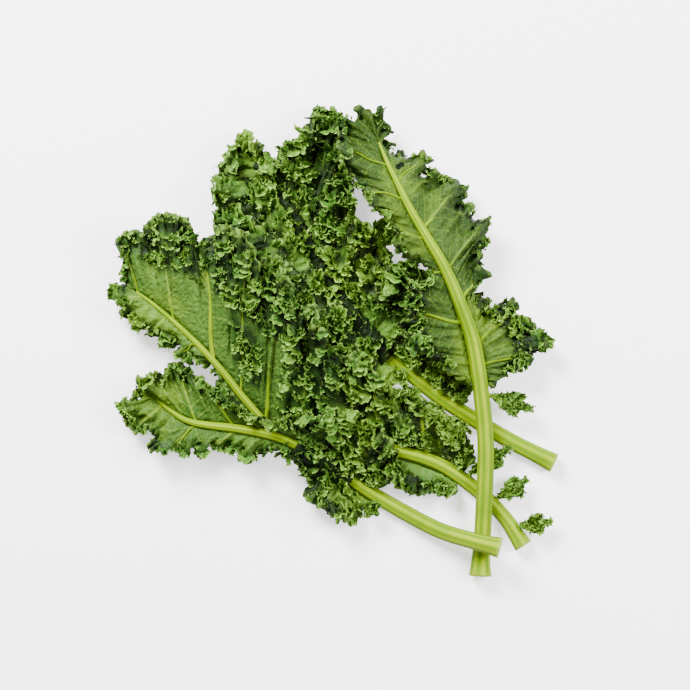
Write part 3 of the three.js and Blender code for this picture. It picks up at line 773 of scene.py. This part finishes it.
# Lengths and heights of waves, teeth and folds, in millimetres.
FINE_LENGTH, FINE_HEIGHT = 6, 2.3
FINER_LENGTH, FINER_HEIGHT = 2.7, 0.9
TOOTH_LENGTH, TOOTH_HEIGHT = 4.6, 0.8
FOLD_LENGTH, FOLD_HEIGHT = 17, 1.8
CLUMP_RISE = 2  # how far a clump stands above the crevices
NO_VEIN = 9  # a place past the whole way round, so that every leaf has a nearest vein


def stray(turn, out):
    """A slow drift that keeps the waves from being even."""
    return 0.9 * np.sin(TAU * 7 * turn + 1.3) + 0.6 * np.sin(TAU * 17 * turn + out * 2)


def ripple(grid, size, turns, phase):
    return grid + normals(grid) * (size * np.sin(turns + phase))[..., None]


def fine_waves(leaf, turn, out, base, wave):
    """The blade with its two finest sets of waves and with the teeth of its margin."""
    walked = TAU * turn * leaf["edge"].length
    start = leaf["fine_from"]
    fine = wave * ramp((out - start) / (1 - start))
    finer = wave * ramp((out - start - 0.2) / (0.8 - start))
    grid = ripple(base, FINE_HEIGHT * fine, walked / FINE_LENGTH + 2.5 * stray(turn, out), 0.6)
    grid = ripple(grid, FINER_HEIGHT * finer, walked / FINER_LENGTH + 5 * stray(turn, out), 2.1)
    outward = unit(np.gradient(grid, axis=1))
    tooth = np.sin(walked / TOOTH_LENGTH + 4 * stray(turn, out)) + 0.5 * np.sin(walked / 2.1)
    return grid + outward * (wave * ramp((out - 0.8) / 0.2) * tooth * TOOTH_HEIGHT)[..., None]


def soft_folds(leaf, turn, out):
    """Height of the low folds on the smooth part of a blade, -1.5 to 1.5."""
    walked = TAU * turn * leaf["edge"].length
    fold = np.sin(walked / FOLD_LENGTH + 2 * stray(turn, out) + 2 * out)
    return fold + 0.5 * np.sin(walked / 7.1 - 3 * out)


# %% [markdown]
# ## From grid to blade
#
# A blade needs fine points only at its margin, where the waves are. An even grid would waste most of
# its points near the rib, and a Decimate modifier would blur the edge. So each row of the grid keeps
# every point, every second or every fourth, and triangles join two rows of different count.

# %% Build the blades
def row_faces(inner, inner_count, outer, outer_count):
    """Faces between two rows of points, where the outer row has as many steps, or twice as many."""
    i = np.arange(inner_count)
    if inner_count == outer_count:
        return np.stack([inner + i, inner + i + 1, outer + i + 1, outer + i], -1).tolist()
    faces = np.stack([inner + i, inner + i + 1, outer + 2 * i + 1], -1).tolist()
    faces += np.stack([inner + i, outer + 2 * i + 1, outer + 2 * i], -1).tolist()
    return faces + np.stack([inner + i + 1, outer + 2 * i + 2, outer + 2 * i + 1], -1).tolist()


def stitch(grid):
    """Points and faces of the closed sheet round a blade's grid, and the places kept from the grid."""
    faces, keep, starts = [], [], [0]
    for j, (_, step) in enumerate(ROWS):
        picked = np.arange(0, COLUMNS + 1, step)
        keep.append((picked, np.full(len(picked), j)))
        if j:
            faces += row_faces(starts[j - 1], starts[j] - starts[j - 1] - 1, starts[j], len(picked) - 1)
        starts.append(starts[j] + len(picked))
    at = tuple(np.concatenate(places) for places in zip(*keep))
    sheet = grid[at]
    lift = normals(grid)[at] * SHEET / 2
    count = len(sheet)
    left = np.array(starts[:-1])
    right = np.array(starts[1:]) - 1
    inner_edge = np.arange(right[0] + 1)
    margin_edge = np.arange(right[-1] - 1, left[-1] - 1, -1)
    ring = np.concatenate([inner_edge, right[1:], margin_edge, left[-2:0:-1]])
    following = np.roll(ring, -1)
    rim = np.stack([ring, ring + count, following + count, following], -1).tolist()
    faces += [[k + count for k in face[::-1]] for face in faces] + rim
    points = np.concatenate([sheet + lift, sheet - lift])
    points[:, 2] = np.maximum(points[:, 2], TABLE)
    return points, faces, at


def make_blade(name, leaf):
    turn, out = np.meshgrid(np.linspace(0, 1, COLUMNS + 1), [place for place, _ in ROWS], indexing="ij")
    base, wave = leaf["surface"](leaf, turn, out)
    grid = fine_waves(leaf, turn, out, base, wave)
    start = leaf["fine_from"]
    smooth = 1 - ramp((out - start) / (1 - start) * 1.3)
    zone = frilled(leaf, turn, out) * (1 - near(leaf["relief"]["bare"], base))
    lobe, _ = clumps(leaf["relief"], base)
    gap = np.abs(turn[..., None] - np.array([place for place, _ in leaf["veins"]] + [NO_VEIN])).min(-1)
    width = np.linalg.norm(np.gradient(base, axis=0), axis=-1) * COLUMNS
    values = dict(
        edge=out,
        across=gap * width,  # millimetres from the nearest side vein
        along=np.cumsum(np.linalg.norm(np.diff(grid, axis=1, prepend=grid[:, :1]), axis=-1), axis=1),
        smooth=smooth * (1 - zone),
        # painted shade: darker where frills stand on the blade, darkest in the crevices between clumps
        shade=1 - zone * (0.75 - 0.45 * lobe),
    )
    grid[..., 2] += zone * lobe * CLUMP_RISE
    grid[..., 2] += smooth * (1 - zone) * ramp(out / 0.35) * FOLD_HEIGHT * soft_folds(leaf, turn, out)
    points, faces, at = stitch(grid)
    values = both({key: value[at] for key, value in values.items()})
    obj = mesh_object(name + "_curled_blade", points, faces, values, leaf["material"])
    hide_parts(name + "_blade")
    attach(obj, "root")
    print(obj.name, sum(len(face) - 2 for face in faces), "triangles")


for name, leaf in LEAVES.items():
    make_blade(name, leaf)

# %% [markdown]
# ## Frills
#
# On the real leaf the frills are the margin itself, folded so often that it stands in rows. A cloth
# simulation could fold it but would be slow and hard to steer. Bands of thin leaf stand side by side
# on the frilled zones instead. A band winds about on its surface, leans away from the middle of its
# clump, and its free edge is ruffled in waves of several lengths.

# %% Lines of the bands
FRILL_STEP = 0.33  # distance between the points along a frill, in millimetres
FRILL_GAP = 4.2  # distance between one frill and the next across the blade


def winding(reach, length, phases):
    """A line that winds about on a surface, between two places round it and two depths."""
    first, last, out_from, out_to = reach
    span = (last - first) * length

    def path(s):
        turn = first + (last - first) * (s + 3.2 / span * np.sin(TAU * span / 14 * s + phases[0]))
        sway = np.sin(TAU * span / 23 * s + phases[1]) + 0.7 * np.sin(TAU * span / 9.5 * s + phases[2])
        out = out_from + (out_to - out_from) * (0.5 + 0.4 * sway)
        return np.clip(turn, 0.001, 0.998), np.clip(out, 0.02, 0.99)

    return path, span


def even_steps(surface, path, span):
    """Distances along a line, FRILL_STEP apart, and the places on the surface that they reach."""
    rough = np.linspace(0, 1, max(12, int(span)))
    walked = np.cumsum(np.linalg.norm(np.diff(surface(*path(rough)), axis=0), axis=1))
    walked = np.append(0, walked)
    distance = np.arange(0, walked[-1], FRILL_STEP)
    return distance, path(np.interp(distance, walked, rough))


def directions(surface, turn, out):
    """The points of a line on a surface, with the directions ahead, sideways and up from it."""
    base = surface(turn, out)
    outward = surface(turn, out + 0.01) - surface(turn, out - 0.01)
    across = surface(turn + 0.001, out) - base
    normal = unit(np.cross(outward, across))
    normal *= np.where(normal[..., 2:] < 0, -1, 1)
    ahead = unit(np.gradient(base, axis=0))
    return base, ahead, unit(np.cross(normal, ahead)), normal


print("a frill has a point every", FRILL_STEP, "mm, and the bands lie", FRILL_GAP, "mm apart")

# %% [markdown]
# ## Ruffles
#
# The free edge of a frill is much longer than its foot, so it swings from side to side, up and down and
# along, the more the farther it stands out. One wave would look like a pleated skirt. Waves of 7.3,
# 3.7 and 2 millimetres together, with lengths that never fit each other, look grown.

# %% Ruffled bands
FRILL_ROWS = np.array([0, 0.4, 0.74, 1])  # heights of a frill's rows of points, foot to free edge
LONG, MIDDLING, SHORT, TINY = 7.3, 3.7, 2, 1.7  # lengths of the ruffles, in millimetres
END_TAPER = 4  # way over which a band grows to its height, in millimetres
BOW = 0.8  # how far a frill leans out from the middle of its clump


def band(surface, relief, length, reach, height, seed):
    """A ruffled band. reach is first and last turn, then first and last depth, on the surface."""
    phases = np.random.default_rng(seed).uniform(0, TAU, 8)
    path, span = winding(reach, length, phases)
    distance, (turn, out) = even_steps(surface, path, span)
    base, ahead, side, normal = directions(surface, turn, out)
    lobe, outwards = clumps(relief, base)
    lying = 1 - near(relief["bare"], base)
    loose = (lying * (0.45 + 0.55 * lobe))[:, None, None]
    base[:, 2] += lobe * CLUMP_RISE
    outwards = np.append(outwards, np.zeros((len(base), 1)), axis=1)[:, None]

    def waves(length, wander=0.0, phase=0.0):
        return np.sin(TAU * distance / length + wander + phase)[:, None, None]

    wander = np.sin(TAU * distance / 47 + phases[3]) + 0.7 * np.sin(TAU * distance / 19 + phases[4])
    v = FRILL_ROWS[None, :, None]
    ends = ramp(distance / END_TAPER) * ramp((distance[-1] - distance) / END_TAPER)
    uneven = 0.85 + 0.15 * np.sin(TAU * distance / 13 + phases[5])
    tall = height * lying * (0.3 + 0.9 * lobe) * uneven * ends
    tall = tall[:, None, None]
    body, rise, run = side[:, None], normal[:, None], ahead[:, None]
    bend = 0.4 * waves(17, wander, phases[6]) * body + outwards * BOW
    grid = base[:, None] + rise * (v * tall - 0.8) + bend * (v**2 * tall)
    # Sideways in two lengths, sideways again in short ones, then up and down, then to and fro.
    ruffle = body * (v**0.9 * (0.9 * waves(LONG, 1.5 * wander) + waves(MIDDLING, 2 * wander)))
    ruffle = ruffle + body * (v**1.2 * 1.1 * waves(SHORT, 2.2 * wander, phases[7]))
    ruffle = ruffle + rise * (v**2 * (0.6 * waves(MIDDLING, wander) + 0.25 * waves(TINY, 3 * wander)))
    ruffle = ruffle + run * (v**1.5 * 0.8 * waves(SHORT, 2.2 * wander, phases[7] + TAU / 4))
    grid = grid + loose * ruffle
    grid[..., 2] = np.maximum(grid[..., 2], TABLE)
    flat = np.zeros(grid.shape[:2])
    edge = flat + 0.35 + 0.65 * v[..., 0]
    # Painted shade: dark at the foot of each frill and in the crevices between clumps.
    shade = flat + (0.12 + 0.88 * lobe[:, None]) * (0.6 + 0.4 * v[..., 0])
    values = dict(edge=edge, across=flat + FAR_FROM_VEIN, along=flat, smooth=flat, shade=shade)
    faces = grid_faces(*grid.shape[:2]).tolist()
    return grid.reshape(-1, 3), faces, {key: np.ravel(value) for key, value in values.items()}


def bands(surface, relief, length, zone, seed):
    """Bands side by side from one depth to another, over part of the way round."""
    first, last, low, high, height = zone
    edges = [surface(np.array([(first + last) / 2]), np.array([out]))[0] for out in (low, high)]
    count = max(1, round(float(np.linalg.norm(edges[1] - edges[0])) / FRILL_GAP))
    depths = np.linspace(low, high, count + 1)
    return [
        band(surface, relief, length, (first, last, depths[k], depths[k + 1]), height, 100 * seed + k)
        for k in range(count)
    ]


# %% [markdown]
# ## Covers over hidden midribs
#
# Over part of its length a midrib lies hidden under frills. The blade could be lifted over it, but
# then it would leave the solid's form. A puckered strip of leaf across the midrib carries the frills
# there.

# %% Covers over hidden midribs
COVER_GAP = 1.4  # distance between a midrib and the strip over it, in millimetres
COVER_PUCKER = 0.7, 7.3  # height and length of its puckers
COVER_FRILL = 6.5  # height of its frills
COVER_STEP = 0.8  # distance between its points along the midrib
COVER_COLUMNS = 10  # points across it


def cover_surface(leaf):
    """The puckered blade over a midrib: a share of the stem's length, and 0 to 1 across it."""

    def place(share, out):
        centre, radius, _, left, up = crossing(leaf["line"], share)
        angle = math.pi * (1.1 * out - 0.05)[..., None]
        pucker, length = COVER_PUCKER
        pucker *= np.sin(TAU * share * leaf["line"].length / length + 4 * np.sin(share * 60))[..., None]
        size = radius + COVER_GAP + pucker * np.sin(3 * angle)
        return centre + size * (left * np.cos(angle) * 1.5 + up * np.sin(angle))

    return place


def rib_cover(leaf, seed):
    """A strip of leaf over the hidden part of a midrib, with frills on it."""
    surface = cover_surface(leaf)
    first, last = leaf["cover"]
    shares = np.linspace(first, last, int((last - first) * leaf["line"].length / COVER_STEP))
    share, out = np.meshgrid(shares, np.linspace(0, 1, COVER_COLUMNS), indexing="ij")
    points, faces = thick_sheet(surface(share, out), SHEET)
    flat = np.zeros(share.shape)
    # Painted shade: the strip under the frills is nearly black.
    values = dict(edge=flat + 0.3, across=flat + FAR_FROM_VEIN, along=flat, smooth=flat, shade=flat + 0.1)
    zone = (first, last, 0.05, 0.95, COVER_FRILL)
    strip = (points, faces.tolist(), both(values))
    return [strip] + bands(surface, leaf["relief"], leaf["line"].length, zone, seed)


# %% [markdown]
# ## Frills on their zones
#
# Each zone in a leaf's table gets its own bands. The frills of one leaf are a single object: a hundred
# small objects could be moved one by one, but they would only make the scene slow and its list long.

# %% Build the frills
def surface_of(leaf):
    return lambda turn, out: leaf["surface"](leaf, turn, out)[0]


for index, (name, leaf) in enumerate(LEAVES.items()):
    surface = surface_of(leaf)
    made = rib_cover(leaf, index + 50) if "cover" in leaf else []
    for k, zone in enumerate(leaf["frills"]):
        made += bands(surface, leaf["relief"], leaf["edge"].length, zone, 10 * index + k)
    points, faces, values = join(made)
    obj = mesh_object(name + "_frills", points, faces, values, FRILL)
    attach(obj, "root")
    print(obj.name, len(made), "bands", 2 * len(faces), "triangles")

# %% [markdown]
# ## Stems
#
# A real stem has shallow ridges along it, is flatter on the side that faced the plant's heart, and
# ends in a cut whose soft middle sinks in. A bevelled curve would be quicker but round all over, so
# the rings of points are worked out here.

# %% Stem shape
SIDES = 40  # points round a stem
RINGS = 140  # rings of points from the cut to the tip
RIDGES = 9
GROOVE = 0.035  # depth of the groove between two ridges, as a share of the radius
FLATTER = 0.78  # height of the flatter side, as a share of the radius
STEM_END = 0.985  # share of the blade's length that the midrib runs along
CUT_FADE = 1.2  # way over which the cut's pale colour fades, in millimetres
CUT_DISH = 0.8  # how far the middle of the cut is sunk in, in millimetres


def stem_mesh(leaf):
    """A stem with its midrib: rings of points with ridges, a cut end and a closed tip."""
    end = leaf["blade_from"] + (1 - leaf["blade_from"]) * STEM_END
    share = np.linspace(0, end, RINGS)
    centre, radius, along, left, up = crossing(leaf["line"], share)
    angle = np.linspace(0, TAU, SIDES + 1)
    rise = np.sin(angle)
    flat_side = np.where((rise > 0) != leaf["underside"], FLATTER, 1.0)
    ridge = np.abs(np.sin(RIDGES * angle / 2 + 0.7 * np.sin(angle * 2)))
    round_ = 1 - GROOVE * (1 - ridge**0.6)
    grid = (
        centre[:, None]
        + left[:, None] * (radius[:, None] * (np.cos(angle) * round_)[None, :, None])
        + up[:, None] * (radius[:, None] * (rise * round_ * flat_side)[None, :, None])
    )
    streak = np.broadcast_to(ridge**2, grid.shape[:2])
    # Painted shade: 1 at the stem's two sides and 0 along its top and bottom.
    side = np.broadcast_to(np.cos(angle) ** 4, grid.shape[:2])
    cut = np.broadcast_to(np.exp(-share[:, None] * leaf["line"].length / CUT_FADE), grid.shape[:2])
    points = np.maximum(grid.reshape(-1, 3), [-1e9, -1e9, TABLE])
    faces = grid_faces(RINGS, SIDES + 1).tolist()
    hub = len(points)
    points = np.concatenate([points, centre[:1] + along[:1] * CUT_DISH, centre[-1:]])
    faces += [[hub, k + 1, k] for k in range(SIDES)]
    last = (RINGS - 1) * (SIDES + 1)
    faces += [[hub + 1, last + k, last + k + 1] for k in range(SIDES)]
    values = dict(
        streak=np.append(streak.ravel(), [0.3, 0.3]),
        side=np.append(side.ravel(), [0, 0]),
        cut=np.append(cut.ravel(), [1, 0]),
    )
    return points, faces, values


# %% [markdown]
# ## Side veins and stalks
#
# Side veins stand out from the underside of a kale leaf, and a stalk carries each leaflet. They could
# be drawn in the material alone, but the thick ones catch light and throw shadows. So they are thin
# tubes, partly sunk in the blade, that taper towards the margin.

# %% Build the stems with their veins
TUBE_SIDES = 8  # points round a vein or stalk
VEIN_REACH = 0.85  # how far out towards the margin a side vein runs
VEIN_STEPS = 36
STALK_REACH = 0.8  # how far along a leaflet its stalk runs
STALK_STEPS = 24


def tube(path, thick, shade):
    """A thin tube along a path, raised a little, so that its upper side shows."""
    ahead = unit(np.gradient(path, axis=0))
    side = unit(np.cross(np.broadcast_to(UP, ahead.shape), ahead))
    up = np.cross(ahead, side)
    angle = np.linspace(0, TAU, TUBE_SIDES + 1)
    grid = path[:, None] + thick[:, None, None] * (
        side[:, None] * np.cos(angle)[None, :, None] + up[:, None] * (0.3 + np.sin(angle))[None, :, None]
    )
    points = grid.reshape(-1, 3)
    flat = np.zeros(len(points))
    faces = grid_faces(len(path), TUBE_SIDES + 1).tolist()
    return points, faces, dict(streak=flat + shade, side=flat, cut=flat)


def vein(leaf, turn, size):
    """A side vein that runs out to one place of the margin and follows the blade."""
    out = np.linspace(0, VEIN_REACH, VEIN_STEPS)
    bend = 0.004 * np.sin(turn * 40 + 5 * out) * np.sin(math.pi * out)
    path, _ = leaf["surface"](leaf, turn + bend, out)
    foot = float(leaf["edge"].at(np.array([turn]))[0, 3])
    thick = size * (1.3 - 0.6 * foot) * (1 - out / VEIN_REACH) ** 0.8 + 0.2
    return tube(path, thick, 0.1 + 0.2 * size)


def on_stem(leaf, share, side, length, width, rise, turn):
    """Foot, heading and size of a leaflet, from its place along the stem and its turn forwards."""
    centre, radius, _, left, _ = crossing(leaf["line"], np.array([share]))
    across = left[0] * side
    heading = across * math.cos(turn) + np.cross(UP, across) * side * math.sin(turn)
    return centre[0] + heading * radius[0, 0] * 0.5, heading, length, width, rise


def stalk(foot, heading, length, width, rise):
    """The stalk along the middle of a leaflet."""
    ahead = np.linspace(0, STALK_REACH, STALK_STEPS)
    lift = rise * np.sin(math.pi / 2 * ahead) + 1.6
    path = foot + heading * (ahead * length)[:, None] + UP * lift[:, None]
    return tube(path, 1.5 * (1 - ahead) ** 1.5 + 0.2, 0.3)


for name, leaf in LEAVES.items():
    pieces = [stem_mesh(leaf)] + [vein(leaf, *facts) for facts in leaf["veins"]]
    pieces += [stalk(*on_stem(leaf, *facts)) for facts in leaf["leaflets"]]
    points, faces, values = join(pieces)
    obj = mesh_object(name + "_ribbed_stem", points, faces, values, STEM)
    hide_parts(name + "_stem")
    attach(obj, "root")
    print(obj.name, sum(len(face) - 2 for face in faces), "triangles")

# %% [markdown]
# ## Leaflets and sprigs
#
# On the bare stem small leaflets grow: a narrow stalk that opens into a ruffled flap. The sprigs on the
# outline of the bunch are such flaps too. They could be copies of one mesh, but no two are alike on
# the plant, so one formula makes each from its own length, width and turn.

# %% Build the leaflets
FLAP_COLUMNS = 241  # points round a flap
FLAP_ROWS = 9  # points from its middle line to its edge
FLAP_LOBES = 5
LEAFLET_FRILL = 2.4  # height of a leaflet's frills, in millimetres


def flap_surface(foot, heading, length, width, rise):
    """A flap: 0 to 1 round it, and 0 to 1 out from its middle line to its edge."""
    sideways = np.cross(UP, heading)

    def place(round_, out):
        angle = math.pi * (1 - 2 * round_)
        lobes = 1 + 0.22 * np.cos(FLAP_LOBES * angle) * ramp(out)
        ahead = np.clip(0.62 + 0.5 * out * lobes * np.cos(angle), 0, 1.2)
        half = width / 2 * out * lobes * np.sin(angle) * (0.2 + 0.8 * ramp((ahead - 0.1) / 0.5))
        point = foot + heading * (ahead * length)[..., None] + sideways * half[..., None]
        point[..., 2] += rise * np.sin(math.pi / 2 * ahead) + 1.5
        point[..., 2] += ramp(out) * (1.6 * np.sin(9 * angle + 2 * out) + 0.8 * np.sin(23 * angle))
        point[..., 2] = np.maximum(point[..., 2], TABLE + SHEET)
        return point

    return place


def flap(facts, height, seed):
    """A flap as a closed sheet, with a band of frills round it."""
    surface = flap_surface(*facts)
    length = 2.2 * facts[2]  # the way round a flap is a little more than twice its length
    columns = np.linspace(0, 1, FLAP_COLUMNS)
    round_, out = np.meshgrid(columns, np.linspace(0, 1, FLAP_ROWS), indexing="ij")
    points, faces = thick_sheet(surface(round_, out), SHEET)
    flat = np.zeros(out.shape)
    values = dict(edge=0.3 + 0.6 * out, across=flat + FAR_FROM_VEIN, along=flat, smooth=flat, shade=flat + 1)
    relief = dict(middles=surface(np.array([0.5]), np.array([0.1])), bare=[], crevices=[])
    zone = (0.04, 0.96, 0.25, 1.0, height)
    return [(points, faces.tolist(), both(values))] + bands(surface, relief, length, zone, seed)


for index, (name, leaf) in enumerate(LEAVES.items()):
    made = []
    for k, facts in enumerate(leaf["leaflets"]):
        made += flap(on_stem(leaf, *facts), LEAFLET_FRILL, 80 + 5 * index + k)
    for k, (x, y, z, degrees, length, width, height) in enumerate(leaf.get("sprigs", [])):
        angle = math.radians(degrees)
        heading = np.array([math.cos(angle), math.sin(angle), 0])
        made += flap((np.array([x, y, z]), heading, length, width, 0), height, 90 + 5 * index + k)
    if made:
        points, faces, values = join(made)
        obj = mesh_object(name + "_leaflets", points, faces, values, FRILL)
        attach(obj, "root")
        print(obj.name, 2 * len(faces), "triangles")

# %% [markdown]
# ## The table
#
# The leaves lie on a plain white table. A curved backdrop would hide the horizon, but the camera looks
# straight down and never sees one, so a flat square is enough. Its faint glow stands for the bright
# room, and keeps it nearly white beside the dark leaves.

# %% Table
HALF_TABLE = 3  # half the table's width, in metres
TABLE_GAP = 0.0002  # keeps the table just below the leaves, so that the two never flicker
TABLE_GLOW = 0.9


def make_table():
    mesh = bpy.data.meshes.new("table_top")
    corners = [(x * HALF_TABLE, y * HALF_TABLE, 0) for x, y in ((-1, -1), (1, -1), (1, 1), (-1, 1))]
    mesh.from_pydata(corners, [], [(0, 1, 2, 3)])
    table = bpy.data.objects.new("table_top", mesh)
    table.location.z = TABLE - TABLE_GAP
    bpy.context.scene.collection.objects.link(table)
    n = Nodes("white_table")
    n.shader.inputs["Base Color"].default_value = (0.88, 0.88, 0.88, 1)
    n.shader.inputs["Emission Color"].default_value = (1, 1, 1, 1)
    n.shader.inputs["Emission Strength"].default_value = TABLE_GLOW
    n.shader.inputs["Roughness"].default_value = 0.8
    mesh.materials.append(n.material)
    print("table", 2 * HALF_TABLE, "m wide")


make_table()

# %% [markdown]
# ## Light
#
# Soft light from the upper left models the frills, and a weaker lamp on the right keeps the shadows
# open. A picture of a sky could light the scene too, but two round lamps and an even room are easier to
# understand and to move. The larger a lamp is, the softer the edges of its shadows.

# %% Lamps and room
LAMPS = {"key_light": ((-0.8, 1.2, 1.2), 170), "fill_light": ((1.3, 0.2, 1.1), 70)}  # metres and watts
LAMP_SIZE = 0.9
ROOM_LIGHT = 0.8


def make_lamp(name, place, power):
    lamp = bpy.data.lights.new(name, "AREA")
    lamp.shape = "DISK"
    lamp.size = LAMP_SIZE
    lamp.energy = power
    obj = bpy.data.objects.new(name, lamp)
    obj.location = place
    x, y, z = place
    obj.rotation_euler = (math.atan2(math.hypot(x, y), z), 0, math.atan2(x, -y))
    bpy.context.scene.collection.objects.link(obj)


for name, facts in LAMPS.items():
    make_lamp(name, *facts)
world = bpy.data.worlds.new("soft_room")
world.use_nodes = True
room = world.node_tree.nodes["Background"]
room.inputs["Color"].default_value = (1, 1, 1, 1)
room.inputs["Strength"].default_value = ROOM_LIGHT
bpy.context.scene.world = world
print("lamps", list(LAMPS))

# %% [markdown]
# ## Camera
#
# The camera looks straight down, with the tips of the leaves towards the top of the picture. It could
# be moved by eye until the picture fits. Here its lens follows from the size of a pixel and from its
# height, so that the picture covers the same ground as the photograph.

# %% Camera
PIXEL = 0.8 * MM  # size of one of the photograph's 690 pixels
SCALE_HEIGHT = 0.03  # height above the table at which a pixel has that size, in metres
IMAGE = 690
ORIGIN = 334, 339.5  # pixel at which the bunch's own origin lies
MIDDLE = (IMAGE / 2 - ORIGIN[0]) * PIXEL, (ORIGIN[1] - IMAGE / 2) * PIXEL  # the picture's centre
CAMERA_HEIGHT = 2.2
SENSOR = 36  # width of the camera's sensor in millimetres


def make_camera():
    data = bpy.data.cameras.new("camera")
    data.sensor_width = SENSOR
    data.lens = SENSOR * (CAMERA_HEIGHT - SCALE_HEIGHT) / (IMAGE * PIXEL)
    camera = bpy.data.objects.new("camera", data)
    camera.location = (*MIDDLE, CAMERA_HEIGHT)
    bpy.context.scene.collection.objects.link(camera)
    bpy.context.scene.camera = camera
    print("camera", round(data.lens), "mm lens,", CAMERA_HEIGHT, "m up")


make_camera()
